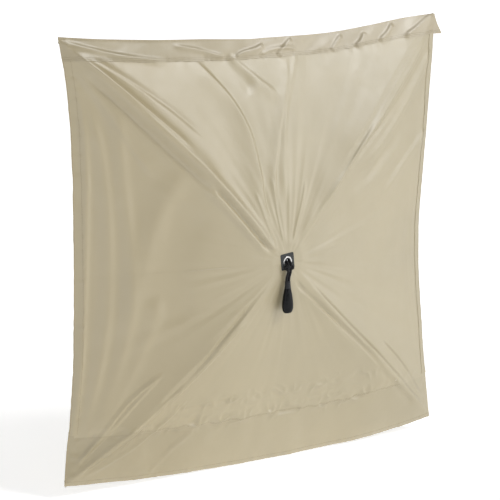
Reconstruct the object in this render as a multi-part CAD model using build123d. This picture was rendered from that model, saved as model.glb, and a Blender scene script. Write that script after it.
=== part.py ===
"""A pop-up hub panel blind: one square wall of cloth, popped out into a low pyramid by a hub and four
flexible rods in an X behind it, with a cord-and-grip pull on the outside of the hub.

Frame: millimetres, +Z up, +X to the right as seen from the front, and the front faces -Y. The origin is on
the hub's axis, where the centre bolt leaves its nut behind the hub. Each rod turns on a pin at the hub's rim
and folds forwards, so the four rods and the cloth on them close like an umbrella. The pull sways about the
eyelet and lifts until it points straight forwards.
"""

from build123d import *
from math import asin, atan2, cos, degrees, hypot, pi, radians, sin, tan
import os

# ---- the cloth, seen from the front: nominal outline about the hub's axis
HALF_WIDTH = 862.0
TOP = 850.0
BOTTOM = -750.0
TOP_BAND = 78.0          # folded header band
BOTTOM_BAND = 184.0      # sewn-on skirt
SIDE_HEM = 30.0
POP_OUT = 190.0          # hub in front of the plane of the corners
ROD_SAG = 30.0           # how far each rod's ridge curves in, sideways, towards the vertical middle
TOP_SAG = 45.0           # how far each free edge curves in between its corners
SIDE_SAG = 65.0
SKIRT_DROP = 45.0        # the skirt's edge curves out, downwards
CLOTH = 1.2
GAP = 0.4                # half the gap between neighbouring pieces of cloth
GORE_BULGE = 0.6         # share of the rods' bow that the cloth keeps halfway between two rods
QUADRANT_STEPS = 5       # rows of facets from the hub's rim to the hem

# ---- hub, along Y from its front face
HUB_R = 66.0
HUB_FRONT = -38.0
HUB_SPLIT = -24.0        # the two shells meet here, on the pivot pins' axes
HUB_BACK = -8.0
PIVOT_R = 52.0
SLOT_WIDTH = 10.0
SLOT_INNER_R = 43.0
SLOT_FLOOR = 6.4         # stop behind the rods, measured back from the pins
PIN_R = 2.0
PIN_LENGTH = 24.0
RECESS_R = 14.0
RECESS_DEPTH = 22.0
SCREW_CIRCLE_R = 27.0
SCREW_R = 2.0
SCREW_HEAD_R = 4.0
SCREW_HEAD = 2.6

# ---- centre bolt with its eye, washer and nut
EYE_Y = -30.0
EYE_MAJOR = 8.0
EYE_MINOR = 2.2
STUD_R = 4.0
STUD_END = 14.0
STUD_CHAMFER = 0.8
GROOVE_R = 3.6           # thread relief beside the nut's outer face
GROOVE_WIDTH = 0.5
WASHER_R = 9.0
WASHER = 1.6
NUT_ACROSS_FLATS = 13.0
NUT_HEIGHT = 6.4

# ---- centre patch and eyelet
CENTRE_CLOTH_R = 45.0
CLOTH_START_R = 47.0
FLAT_R = 70.0            # the cloth lies flat over the hub as far as this
PATCH = 60.0
PATCH_TURN = 6.0
EYELET_HOLE_R = 13.0
EYELET_WALL = 0.5
EYELET_FLANGE_R = 19.0
EYELET_RISE = 1.6
EYELET_WASHER_R = 18.5
EYELET_SEAT = 1.8

# ---- rods and their fittings
ROD_R = 4.75
ROD_TILT = 25.0          # each rod's bend leans this much from straight forwards to the vertical middle
ROD_GAP_AT_TIP = 14.0    # rod's centre line behind the cloth's back face
TIP_INSET = 24.0         # rod's end short of the cloth's corner
TONGUE_HALF_HEIGHT = 6.0
TONGUE_WIDTH = 9.0
TONGUE_LENGTH = 26.0
PIN_CLEARANCE = 0.05
FERRULE_R = 6.5
FERRULE_START = 20.0
FERRULE_END = 78.0
CAP_R = 6.6
CAP_LENGTH = 34.0
CAP_END = 3.0
POCKET_IN_R = 7.4
POCKET_OUT_R = 9.2
POCKET_LENGTH = 85.0
POCKET_END = 3.0
KEEPER_IN_R = 5.2
KEEPER_OUT_R = 7.0
KEEPER_LENGTH = 45.0
KEEPER_PLACES = (0.36, 0.68)   # share of the rod's length

# ---- corner tabs, which stick out backwards from the corners
TAB_THICK = 2.4
TAB_WIDTH = 30.0
TAB_LENGTH = 40.0
TAB_INSET_X = 58.0
TAB_INSET_Z = 108.0
TAB_CLEAR = 0.6          # tab starts this far behind the cloth
TAB_HOLE_R = 5.0
TAB_EYELET_WALL = 0.8
TAB_EYELET_FLANGE_R = 9.5
TAB_EYELET_FLANGE = 0.8
TAB_HOLE_FROM_END = 15.0

# ---- pull: loop, knot, doubled cord and grip
CORD_R = 4.75
STRAND_OFFSET = 5.4      # each strand's centre line beside the middle of the pair
LOOP_R = 7.2
LOOP_FRONT = -42.4
NECK_FRONT = -45.5       # the cord bends freely in front of this
UPPER_ROUTE = ((0.0, -49.5, -5.5), (-1.0, -54.8, -15.5))
KNOT_R = 12.0
KNOT = (0.0, -54.8, -22.5)
CORD_ROUTE = ((-1.6, -54.8, -30.0), (-3.0, -54.9, -42.0), (-10.2, -55.0, -59.0), (-10.2, -55.0, -71.0))
BEND_SHARE = 0.45        # of the shorter run, taken by each bend
SLEEVE_LENGTH = 26.0
# z below the sleeve's top, half width along X, half depth along Y
SLEEVE_SECTIONS = ((0.0, 11.2, 7.8), (13.0, 11.5, 8.2), (SLEEVE_LENGTH, 13.2, 9.4))
GRIP_SECTIONS = (
    (SLEEVE_LENGTH, 13.2, 9.4),
    (54.0, 19.2, 12.4),
    (86.0, 23.4, 14.4),
    (104.0, 22.4, 14.0),
    (119.0, 15.5, 10.0),
)

CORNERS = {
    "top_left": (-1, TOP),
    "top_right": (1, TOP),
    "bottom_left": (-1, BOTTOM),
    "bottom_right": (1, BOTTOM),
}
PIVOT_Y = HUB_SPLIT
CLOTH_BACK = HUB_FRONT - 0.4
CLOTH_FRONT = CLOTH_BACK - CLOTH


# ---------------------------------------------------------------- the cloth's shape
def cloth_point(x, z, behind=0.0):
    """A point on the cloth's front face, or that far behind it, from its place in the nominal outline."""
    across = abs(x) / HALF_WIDTH
    up = z / (TOP if z > 0 else BOTTOM)
    reach = max(across, up)
    r = hypot(x, z)
    share = min(1.0, max(0.0, r - FLAT_R) / (r / reach - FLAT_R))
    # 1 on a rod's ridge, and 0 halfway between two rods
    nearness = min(across, up) / reach
    bow = GORE_BULGE + (1 - GORE_BULGE) * nearness**3
    depth = POP_OUT * ((1 - bow) * share + bow * share**2)
    edge_sag = (1 - nearness**2) * reach**2
    pull_in = 4 * ROD_SAG * share * (1 - share)
    drop = 0.0
    if across > up:
        pull_in += SIDE_SAG * edge_sag
    else:
        pull_in *= nearness
        drop = (TOP_SAG if z > 0 else SKIRT_DROP) * edge_sag
    side = 1 if x > 0 else -1
    return (x - side * pull_in, CLOTH_FRONT + depth + behind, z - drop)


def facet(*points):
    return Face(Wire.make_polygon([Vector(*p) for p in points], close=True))


def sheet_solid(grid):
    """A sheet of cloth as a closed solid: grid holds rows of places in the nominal outline."""
    front = [[cloth_point(x, z) for x, z in row] for row in grid]
    back = [[cloth_point(x, z, CLOTH) for x, z in row] for row in grid]
    rows = len(grid)
    columns = len(grid[0])
    faces = []
    for layer in (front, back):
        for i in range(rows - 1):
            for j in range(columns - 1):
                a, b = layer[i][j], layer[i][j + 1]
                c, d = layer[i + 1][j + 1], layer[i + 1][j]
                faces.append(facet(a, b, c))
                faces.append(facet(a, c, d))
    rim = [(0, j) for j in range(columns)]
    rim += [(i, columns - 1) for i in range(1, rows)]
    rim += [(rows - 1, j) for j in range(columns - 2, -1, -1)]
    rim += [(i, 0) for i in range(rows - 2, 0, -1)]
    for (i, j), (k, m) in zip(rim, rim[1:] + rim[:1]):
        faces.append(facet(front[i][j], front[k][m], back[k][m], back[i][j]))
    solid = Solid(Shell(faces))
    if solid.volume < 0:
        solid = Solid(Shell([-face for face in faces]))
    return solid


def quadrant(side, limit):
    """The main cloth of one quarter of the panel, from the hub out to the hem and the band."""
    band = TOP_BAND if limit > 0 else BOTTOM_BAND
    up = 1 if limit > 0 else -1
    z_in = limit - up * (band + GAP)
    x_in = HALF_WIDTH - SIDE_HEM - GAP
    ridge_x = HALF_WIDTH * z_in / limit
    ends = (
        (GAP, z_in),
        (ridge_x / 2, z_in),
        (ridge_x, z_in),
        (x_in, z_in),
        (x_in, z_in / 2),
        (x_in, up * GAP),
    )
    grid = []
    for k in range(-1, QUADRANT_STEPS + 1):
        row = []
        for x, z in ends:
            edge = hypot(x, z)
            r = CLOTH_START_R if k < 0 else FLAT_R + (edge - FLAT_R) * k / QUADRANT_STEPS
            # the first and last columns run beside the middle lines of the panel
            x_here = max(GAP, x * r / edge)
            z_here = up * max(GAP, abs(z) * r / edge)
            row.append((side * x_here, z_here))
        grid.append(row)
    return sheet_solid(grid)


def band(side, limit):
    """Half of the band along the top or the bottom, from one corner to the middle of the panel."""
    height = TOP_BAND if limit > 0 else BOTTOM_BAND
    up = 1 if limit > 0 else -1
    z_in = limit - up * height
    ridge_x = HALF_WIDTH * z_in / limit
    # the facets' diagonals run from the ridge, through the middle of the last two columns, to the corner
    columns = (GAP, ridge_x / 2, ridge_x, (ridge_x + HALF_WIDTH) / 2, HALF_WIDTH)
    return sheet_solid([[(side * x, z) for x in columns] for z in (z_in, (z_in + limit) / 2, limit)])


def side_hem(side, limit):
    """Half of a side hem, from a band to the height of the hub."""
    height = TOP_BAND if limit > 0 else BOTTOM_BAND
    up = 1 if limit > 0 else -1
    z_out = limit - up * (height + GAP)
    places = (up * GAP, z_out / 2, z_out)
    x_in = HALF_WIDTH - SIDE_HEM
    return sheet_solid([[(side * x_in, z) for z in places], [(side * HALF_WIDTH, z) for z in places]])


# ---------------------------------------------------------------- round parts along Y
def disc(radius, front, back):
    return Pos(0, (front + back) / 2, 0) * Rot(90, 0, 0) * Cylinder(radius, back - front)


def ring(outer, inner, front, back):
    return disc(outer, front, back) - disc(inner, front - 1, back + 1)


def rod_angle(side, limit):
    """Direction of a rod about the hub's axis, in degrees from +X towards +Z."""
    return degrees(atan2(limit, side * HALF_WIDTH))


def place_round(shape, angle):
    """Turns a shape built along +X to lie along a rod's direction."""
    return Rot(0, -angle, 0) * shape


ANGLES = {name: rod_angle(side, limit) for name, (side, limit) in CORNERS.items()}


# ---------------------------------------------------------------- hub
def slots_and_seats():
    """Everything that both shells lose to the rods: the slots and the pins' seats."""
    cut = None
    length = HUB_R + 10 - SLOT_INNER_R
    depth = HUB_SPLIT + SLOT_FLOOR - (HUB_FRONT - 1)
    slot = Pos(SLOT_INNER_R + length / 2, HUB_FRONT - 1 + depth / 2, 0) * Box(length, depth, SLOT_WIDTH)
    seat = Pos(PIVOT_R, PIVOT_Y, 0) * Cylinder(PIN_R, PIN_LENGTH)
    for angle in ANGLES.values():
        for shape in (slot, seat):
            turned = place_round(shape, angle)
            cut = turned if cut is None else cut + turned
    return cut


def screw_places():
    return [place_round(Pos(SCREW_CIRCLE_R, 0, 0), 90 * k) for k in range(4)]


def screw():
    shank = disc(SCREW_R, HUB_FRONT + 5, HUB_BACK - SCREW_HEAD)
    head = disc(SCREW_HEAD_R, HUB_BACK - SCREW_HEAD, HUB_BACK)
    return shank + head


def hub_shells():
    cut = slots_and_seats()
    for place in screw_places():
        cut += place * screw()
    front = disc(HUB_R, HUB_FRONT, HUB_SPLIT)
    front = fillet(front.edges().group_by(Axis.Y)[0], 2.5)
    front -= disc(RECESS_R, HUB_FRONT - 1, HUB_SPLIT + 1)
    front -= disc(EYELET_WASHER_R + 0.5, HUB_FRONT - 1, HUB_FRONT + EYELET_SEAT)
    back = disc(HUB_R, HUB_SPLIT, HUB_BACK)
    back = fillet(back.edges().group_by(Axis.Y)[-1], 4)
    back -= disc(RECESS_R, HUB_SPLIT - 1, HUB_FRONT + RECESS_DEPTH)
    back -= disc(STUD_R, HUB_SPLIT, HUB_BACK + 1)
    return front - cut, back - cut


def eye_bolt():
    eye = Pos(0, EYE_Y, 0) * Rot(0, 90, 0) * Torus(EYE_MAJOR, EYE_MINOR)
    shank = disc(STUD_R, EYE_Y + EYE_MAJOR, -GROOVE_WIDTH)
    groove = disc(GROOVE_R, -GROOVE_WIDTH, 0)
    stud = disc(STUD_R, 0, STUD_END)
    stud = chamfer(stud.edges().group_by(Axis.Y)[-1], STUD_CHAMFER)
    return eye + shank + groove + stud


def eye_bolt_nut():
    front = HUB_BACK + WASHER
    hexagon = RegularPolygon(NUT_ACROSS_FLATS / 2, 6, major_radius=False)
    body = extrude(Plane.XZ * hexagon, -NUT_HEIGHT)
    return Pos(0, front, 0) * body - disc(STUD_R, front - 1, front + NUT_HEIGHT + 1)


def centre_eyelet():
    """Barrel through the cloth with a rounded flange in front of the patch."""
    patch_front = CLOTH_FRONT - CLOTH
    barrel = ring(EYELET_HOLE_R + EYELET_WALL, EYELET_HOLE_R, patch_front, HUB_FRONT + EYELET_SEAT - 0.4)
    flange = ring(EYELET_FLANGE_R, EYELET_HOLE_R, patch_front - EYELET_RISE, patch_front)
    flange = fillet(flange.edges().group_by(Axis.Y)[0], 1.2)
    return barrel + flange


# ---------------------------------------------------------------- rods
class RodLine:
    """The arc that a rod's centre line follows: along +X from its pin, bending back towards +Y.
    The arc is then leant about its chord, so that the rod also bows
    towards the vertical middle of the panel."""

    def __init__(self, side, limit):
        reach = hypot(HALF_WIDTH, limit)
        tip_depth = POP_OUT + CLOTH_BACK + ROD_GAP_AT_TIP - PIVOT_Y
        run = reach - PIVOT_R
        self.radius = (run**2 + tip_depth**2) / (2 * tip_depth)
        self.length = self.radius * 2 * asin(hypot(run, tip_depth) / (2 * self.radius)) - TIP_INSET
        self.chord = Axis((PIVOT_R, PIVOT_Y, 0), (run, tip_depth, 0))
        self.lean = -ROD_TILT * side * (1 if limit > 0 else -1)

    def point(self, along):
        turn = along / self.radius
        return (PIVOT_R + self.radius * sin(turn), PIVOT_Y + self.radius * (1 - cos(turn)))

    def tube(self, outer, start, end, inner=0.0):
        """A round bar or tube about the centre line between two distances from the pin."""
        x, y = self.point(start)
        turn = start / self.radius
        plane = Plane(origin=(x, y, 0), x_dir=(0, 0, 1), z_dir=(cos(turn), sin(turn), 0))
        profile = Circle(outer)
        if inner:
            profile -= Circle(inner)
        centre = Axis((PIVOT_R, PIVOT_Y + self.radius, 0), (0, 0, 1))
        tube = revolve(plane * profile, centre, degrees((end - start) / self.radius))
        return tube.rotate(self.chord, self.lean)


def rod(line):
    return line.tube(ROD_R, FERRULE_START + 6, line.length)


def hub_fitting(line):
    """The tongue that turns on the pin, and the ferrule that the rod is glued into."""
    eye = Pos(PIVOT_R, PIVOT_Y, 0) * Cylinder(TONGUE_HALF_HEIGHT, TONGUE_WIDTH)
    blade = Box(TONGUE_LENGTH, 2 * TONGUE_HALF_HEIGHT, TONGUE_WIDTH)
    blade = Pos(PIVOT_R + TONGUE_LENGTH / 2, PIVOT_Y, 0) * blade
    ferrule = line.tube(FERRULE_R, FERRULE_START, FERRULE_END)
    hole = Pos(PIVOT_R, PIVOT_Y, 0) * Cylinder(PIN_R + PIN_CLEARANCE, TONGUE_WIDTH + 2)
    return eye + blade + ferrule - hole - line.tube(ROD_R, FERRULE_START + 6, FERRULE_END + 1)


def tip_cap(line):
    tube = line.tube(CAP_R, line.length - CAP_LENGTH, line.length, ROD_R)
    return tube + line.tube(CAP_R, line.length, line.length + CAP_END)


def corner_pocket(line):
    end = line.length + CAP_END + 0.5
    tube = line.tube(POCKET_OUT_R, end - POCKET_LENGTH, end, POCKET_IN_R)
    return tube + line.tube(POCKET_OUT_R, end, end + POCKET_END)


def rod_keepers(line):
    starts = [line.length * share for share in KEEPER_PLACES]
    return Compound([line.tube(KEEPER_OUT_R, s, s + KEEPER_LENGTH, KEEPER_IN_R) for s in starts])


# ---------------------------------------------------------------- corner tabs
def tab_frame(side, limit):
    """Where a corner tab starts: its X, its first Y behind the cloth, and its Z."""
    up = 1 if limit > 0 else -1
    x = side * (HALF_WIDTH - TAB_INSET_X)
    z = limit - up * TAB_INSET_Z
    sewn = [cloth_point(x + step_x, z + step_z)[1] for step_x in (-20, 20) for step_z in (-20, 20)]
    return x, max(sewn) + CLOTH + TAB_CLEAR, z


def corner_tab(side, limit):
    x, y, z = tab_frame(side, limit)
    plate = Pos(x, y + TAB_LENGTH / 2, z) * Box(TAB_THICK, TAB_LENGTH, TAB_WIDTH)
    plate = fillet(plate.edges().filter_by(Axis.X).group_by(Axis.Y)[-1], 9)
    hole = Rot(0, 90, 0) * Cylinder(TAB_HOLE_R + TAB_EYELET_WALL, 4 * TAB_THICK)
    return plate - Pos(x, y + TAB_LENGTH - TAB_HOLE_FROM_END, z) * hole


def corner_eyelet(side, limit):
    x, y, z = tab_frame(side, limit)
    half = TAB_THICK / 2
    wall = Cylinder(TAB_HOLE_R + TAB_EYELET_WALL, 2 * (half + TAB_EYELET_FLANGE))
    flange = Cylinder(TAB_EYELET_FLANGE_R, TAB_EYELET_FLANGE)
    lift = half + TAB_EYELET_FLANGE / 2
    body = wall + Pos(0, 0, lift) * flange + Pos(0, 0, -lift) * flange - Cylinder(TAB_HOLE_R, 20)
    return Pos(x, y + TAB_LENGTH - TAB_HOLE_FROM_END, z) * Rot(0, 90, 0) * body


# ---------------------------------------------------------------- pull
def pull_loop():
    """The cord's turn through the bolt's eye, with both legs forwards through the eyelet."""
    middle = EYE_Y - EYE_MAJOR
    legs = [Pos(x, 0, 0) * disc(CORD_R, LOOP_FRONT, middle) for x in (-LOOP_R, LOOP_R)]
    plane = Plane(origin=(LOOP_R, middle, 0), x_dir=(1, 0, 0), z_dir=(0, 1, 0))
    turn = revolve(plane * Circle(CORD_R), Axis((0, middle, 0), (0, 0, 1)), 180)
    return legs[0] + legs[1] + turn


def bend_radii(route):
    """The largest bend at each corner of a route that leaves room on both its runs."""
    radii = []
    for a, b, c in zip(route, route[1:], route[2:]):
        first = Vector(*b) - Vector(*a)
        second = Vector(*c) - Vector(*b)
        turn = radians(first.get_angle(second))
        radii.append(BEND_SHARE * min(first.length, second.length) / tan(turn / 2))
    return radii


def cord_tube(name, route):
    """A round cord along straight runs joined by arcs."""
    radii = bend_radii(route)
    path = FilletPolyline(*route, radius=radii)
    tube = sweep(Plane(origin=route[0], z_dir=path % 0) * Circle(CORD_R), path=path)
    expected = path.length * pi * CORD_R**2
    print(name, "radii", [round(r, 1) for r in radii], "volume/expected", round(tube.volume / expected, 4))
    return tube


def neck():
    """The two legs just in front of the eyelet, which sway with the pull."""
    return Compound([Pos(x, 0, 0) * disc(CORD_R, NECK_FRONT, LOOP_FRONT - GAP) for x in (-LOOP_R, LOOP_R)])


def upper_strand(side):
    """One leg from the bend in front of the eyelet down into the knot."""
    top, bottom = [Vector(x + side * STRAND_OFFSET, y, z) for x, y, z in UPPER_ROUTE]
    run = bottom - top
    return extrude(Plane(origin=top, z_dir=run) * Circle(CORD_R), run.length)


def strand(side):
    """One of the two strands between the knot and the grip."""
    return cord_tube("strand", [(x + side * STRAND_OFFSET, y, z) for x, y, z in CORD_ROUTE])


def lofted(sections):
    x, y, top = CORD_ROUTE[-1]
    return loft([Pos(x, y, top - down) * Ellipse(width, depth) for down, width, depth in sections])


def pull_grip():
    grip = lofted(GRIP_SECTIONS)
    return fillet(grip.edges().group_by(Axis.Z)[0], 5)


# ---------------------------------------------------------------- all the nodes
def build():
    front_shell, back_shell = hub_shells()
    patch_front = CLOTH_FRONT - CLOTH
    hole = EYELET_HOLE_R + EYELET_WALL
    patch = extrude(Plane.XZ * (Rot(0, 0, PATCH_TURN) * RectangleRounded(PATCH, PATCH, 3)), CLOTH)
    patch = Pos(0, CLOTH_FRONT, 0) * patch - disc(hole, patch_front - 1, CLOTH_BACK)
    pin = Pos(PIVOT_R, PIVOT_Y, 0) * Cylinder(PIN_R, PIN_LENGTH)
    upper = [upper_strand(side) for side in (-1, 1)]
    lower = [strand(side) for side in (-1, 1)]
    nodes = {
        "hub_front_shell": front_shell,
        "hub_back_shell": back_shell,
        "hub_screws": Compound([place * screw() for place in screw_places()]),
        "pivot_pins": Compound([place_round(pin, angle) for angle in ANGLES.values()]),
        "eye_bolt": eye_bolt(),
        "eye_bolt_washer": ring(WASHER_R, STUD_R, HUB_BACK, HUB_BACK + WASHER),
        "eye_bolt_nut": eye_bolt_nut(),
        "centre_cloth": ring(CENTRE_CLOTH_R, hole, CLOTH_FRONT, CLOTH_BACK),
        "centre_patch": patch,
        "centre_eyelet": centre_eyelet(),
        "eyelet_washer": ring(EYELET_WASHER_R, hole, HUB_FRONT, HUB_FRONT + 1),
        "pull_loop": pull_loop(),
        "pull_neck": neck(),
        "pull_cord_upper": Compound(upper),
        "pull_knot": Pos(*KNOT) * Sphere(KNOT_R) - upper - lower,
        "pull_cord_lower": Compound(lower),
        "grip_sleeve": lofted(SLEEVE_SECTIONS),
        "pull_grip": pull_grip(),
    }
    for name, (side, limit) in CORNERS.items():
        line = RodLine(side, limit)
        angle = ANGLES[name]
        nodes["rod_" + name] = place_round(rod(line), angle)
        nodes["hub_fitting_" + name] = place_round(hub_fitting(line), angle)
        nodes["tip_cap_" + name] = place_round(tip_cap(line), angle)
        nodes["corner_pocket_" + name] = place_round(corner_pocket(line), angle)
        nodes["rod_keepers_" + name] = place_round(rod_keepers(line), angle)
        nodes["cloth_" + name] = quadrant(side, limit)
        nodes["band_" + name] = band(side, limit)
        nodes["side_hem_" + name] = side_hem(side, limit)
        nodes["corner_tab_" + name] = corner_tab(side, limit)
        nodes["corner_eyelet_" + name] = corner_eyelet(side, limit)
    return nodes


os.makedirs("parts", exist_ok=True)
for node, shape in build().items():
    export_step(shape, f"parts/{node}.step")
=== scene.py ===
"""Looks of the pop-up hub panel: taffeta cloth stretched over four rods, its bands, hems and
corner webbing, the centre patch and eyelet, and the pull with its cord, knot and moulded grip.

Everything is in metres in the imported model's frame: +X right and +Z up as seen from the front,
which faces -Y.
"""

from math import cos, hypot, pi, radians, sin

import bmesh
import bpy
import numpy as np
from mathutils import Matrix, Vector


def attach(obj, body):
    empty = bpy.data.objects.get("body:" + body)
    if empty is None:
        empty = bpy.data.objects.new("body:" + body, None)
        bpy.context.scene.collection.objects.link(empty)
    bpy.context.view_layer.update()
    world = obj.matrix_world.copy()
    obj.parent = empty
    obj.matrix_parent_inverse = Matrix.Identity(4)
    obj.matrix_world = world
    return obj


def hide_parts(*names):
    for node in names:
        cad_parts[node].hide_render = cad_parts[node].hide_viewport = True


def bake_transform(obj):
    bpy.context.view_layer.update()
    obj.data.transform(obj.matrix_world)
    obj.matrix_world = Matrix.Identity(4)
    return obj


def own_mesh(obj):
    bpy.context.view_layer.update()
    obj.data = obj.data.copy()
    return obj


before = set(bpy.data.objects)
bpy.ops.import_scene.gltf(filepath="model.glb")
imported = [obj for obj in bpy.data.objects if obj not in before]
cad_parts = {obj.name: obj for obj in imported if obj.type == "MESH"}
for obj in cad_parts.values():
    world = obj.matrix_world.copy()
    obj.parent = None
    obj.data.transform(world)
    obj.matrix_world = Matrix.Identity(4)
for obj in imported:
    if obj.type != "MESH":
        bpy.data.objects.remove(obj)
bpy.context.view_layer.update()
scene = bpy.context.scene

# ---------------------------------------------------------------- camera
CAMERA_TARGET = Vector((-0.027, 0.153, 0.017))
CAMERA_AZIMUTH = radians(-36.85)
CAMERA_ELEVATION = radians(10.34)
CAMERA_DISTANCE = 9.313

towards_camera = Vector((
    sin(CAMERA_AZIMUTH) * cos(CAMERA_ELEVATION),
    -cos(CAMERA_AZIMUTH) * cos(CAMERA_ELEVATION),
    sin(CAMERA_ELEVATION),
))
camera = bpy.data.objects.new("camera", bpy.data.cameras.new("camera"))
scene.collection.objects.link(camera)
camera.data.lens = 180.4
camera.data.sensor_width = 36.0
camera.data.clip_end = 200.0
camera.location = CAMERA_TARGET + towards_camera * CAMERA_DISTANCE
camera.rotation_euler = towards_camera.to_track_quat("Z", "Y").to_euler()
scene.camera = camera
scene.view_settings.view_transform = "Standard"


# ---------------------------------------------------------------- meshes
def smooth(low, high, value):
    """0 below low, 1 above high, and smooth between them."""
    t = np.clip((value - low) / (high - low), 0, 1)
    return t * t * (3 - 2 * t)


def noise(u, v, seed):
    """Smooth noise between -1 and 1 over a lattice of unit cells."""
    table = np.random.default_rng(seed).uniform(-1, 1, (64, 64))
    i, j = np.floor(u).astype(int), np.floor(v).astype(int)
    s, t = u - i, v - j
    s, t = s * s * (3 - 2 * s), t * t * (3 - 2 * t)
    low = table[i % 64, j % 64] * (1 - s) + table[(i + 1) % 64, j % 64] * s
    high = table[i % 64, (j + 1) % 64] * (1 - s) + table[(i + 1) % 64, (j + 1) % 64] * s
    return low * (1 - t) + high * t


def grid_faces(rows, columns, first=0, wrap=False):
    i, j = np.meshgrid(np.arange(rows - 1), np.arange(columns if wrap else columns - 1), indexing="ij")
    a, b = i * columns + j, i * columns + (j + 1) % columns
    return (np.stack([a, b, b + columns, a + columns], -1).reshape(-1, 4) + first).tolist()


def make_object(name, points, faces, materials, uv=None, face_materials=None, sharp=50):
    """A closed, smooth-shaded mesh object, sharp along edges that turn by more than so many degrees."""
    mesh = bpy.data.meshes.new(name)
    mesh.from_pydata(np.asarray(points, float).reshape(-1, 3).tolist(), [], faces)
    if face_materials is not None:
        mesh.polygons.foreach_set("material_index", face_materials)
    if uv is not None:
        corner = np.zeros(len(mesh.loops), int)
        mesh.loops.foreach_get("vertex_index", corner)
        mesh.uv_layers.new(name="cut").data.foreach_set("uv", np.asarray(uv, float)[corner].ravel())
    work = bmesh.new()
    work.from_mesh(mesh)
    bmesh.ops.recalc_face_normals(work, faces=work.faces)
    work.to_mesh(mesh)
    work.free()
    mesh.shade_smooth()
    mesh.set_sharp_from_angle(angle=radians(sharp))
    for material in materials:
        mesh.materials.append(material)
    obj = bpy.data.objects.new(name, mesh)
    scene.collection.objects.link(obj)
    return obj


def plate(front, back, uv, wrap=False):
    """Points, faces and cut places of a closed sheet between two grids of points."""
    rows, columns = front.shape[:2]
    count = rows * columns
    faces = grid_faces(rows, columns, wrap=wrap) + grid_faces(rows, columns, count, wrap)
    top, bottom = np.arange(columns), (rows - 1) * columns + np.arange(columns)
    if wrap:
        rims = [np.append(top, 0), np.append(bottom, (rows - 1) * columns)]
    else:
        left, right = np.arange(rows) * columns, np.arange(rows) * columns + columns - 1
        rims = [np.concatenate([top, right[1:], bottom[-2::-1], left[-2::-1]])]
    for rim in rims:
        faces += [[a, b, b + count, a + count] for a, b in zip(rim[:-1].tolist(), rim[1:].tolist())]
    points = np.concatenate([front.reshape(-1, 3), back.reshape(-1, 3)])
    return points, faces, np.concatenate([uv.reshape(-1, 2)] * 2)


def along_spline(route, steps=20):
    """Points along a smooth spline that has the route's points as its control points."""
    curve = bpy.data.curves.new("route", "CURVE")
    curve.dimensions = "3D"
    curve.resolution_u = steps
    spline = curve.splines.new("NURBS")
    spline.points.add(len(route) - 1)
    for point, place in zip(spline.points, route):
        point.co = (*place, 1)
    spline.order_u = 3
    spline.use_endpoint_u = True
    obj = bpy.data.objects.new("route", curve)
    scene.collection.objects.link(obj)
    mesh = bpy.data.meshes.new_from_object(obj)
    points = np.array([v.co for v in mesh.vertices], float)
    bpy.data.objects.remove(obj)
    bpy.data.meshes.remove(mesh)
    bpy.data.curves.remove(curve)
    return points


def tube_parts(path, radius, sides=20, closed=False):
    """Points, faces and places (round, along) of a tube about a path, capped unless it is closed."""
    path = np.asarray(path, float)
    ahead = np.roll(path, -1, 0) - np.roll(path, 1, 0)
    if not closed:
        ahead[0], ahead[-1] = path[1] - path[0], path[-1] - path[-2]
    ahead /= np.linalg.norm(ahead, axis=1)[:, None]
    helper = np.array([1.0, 0.0, 0.0]) if abs(ahead[0][0]) < 0.8 else np.array([0.0, 0.0, 1.0])
    across = np.cross(ahead[0], helper)
    frames = []
    for direction in ahead:
        across = across - direction * (across @ direction)
        across /= np.linalg.norm(across)
        frames.append((across, np.cross(direction, across)))
    turn = np.arange(sides) * 2 * pi / sides
    radius = np.broadcast_to(radius, len(path))
    rings = [
        p + r * (np.cos(turn)[:, None] * a + np.sin(turn)[:, None] * b)
        for p, r, (a, b) in zip(path, radius, frames)
    ]
    run = np.concatenate([[0], np.cumsum(np.linalg.norm(np.diff(path, axis=0), axis=1))])
    uv = np.stack(np.meshgrid(turn / (2 * pi), run), -1).reshape(-1, 2)
    points = np.concatenate(rings)
    count, columns = len(path), sides
    faces = grid_faces(count, columns, wrap=True)
    last = (count - 1) * columns
    if closed:
        faces += [[last + j, last + (j + 1) % columns, (j + 1) % columns, j] for j in range(columns)]
    else:
        faces += [list(range(columns)), [last + j for j in range(columns)]]
    return points, faces, uv


def merged(parts):
    """Several (points, faces, uv) as one."""
    points, faces, uv, first = [], [], [], 0
    for some, those, places in parts:
        points.append(np.asarray(some).reshape(-1, 3))
        faces += [[k + first for k in face] for face in those]
        uv.append(places)
        first += len(points[-1])
    return np.concatenate(points), faces, np.concatenate(uv)


STITCH_PITCH, STITCH_LENGTH, STITCH_R = 0.0048, 0.0034, 0.0004


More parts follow.
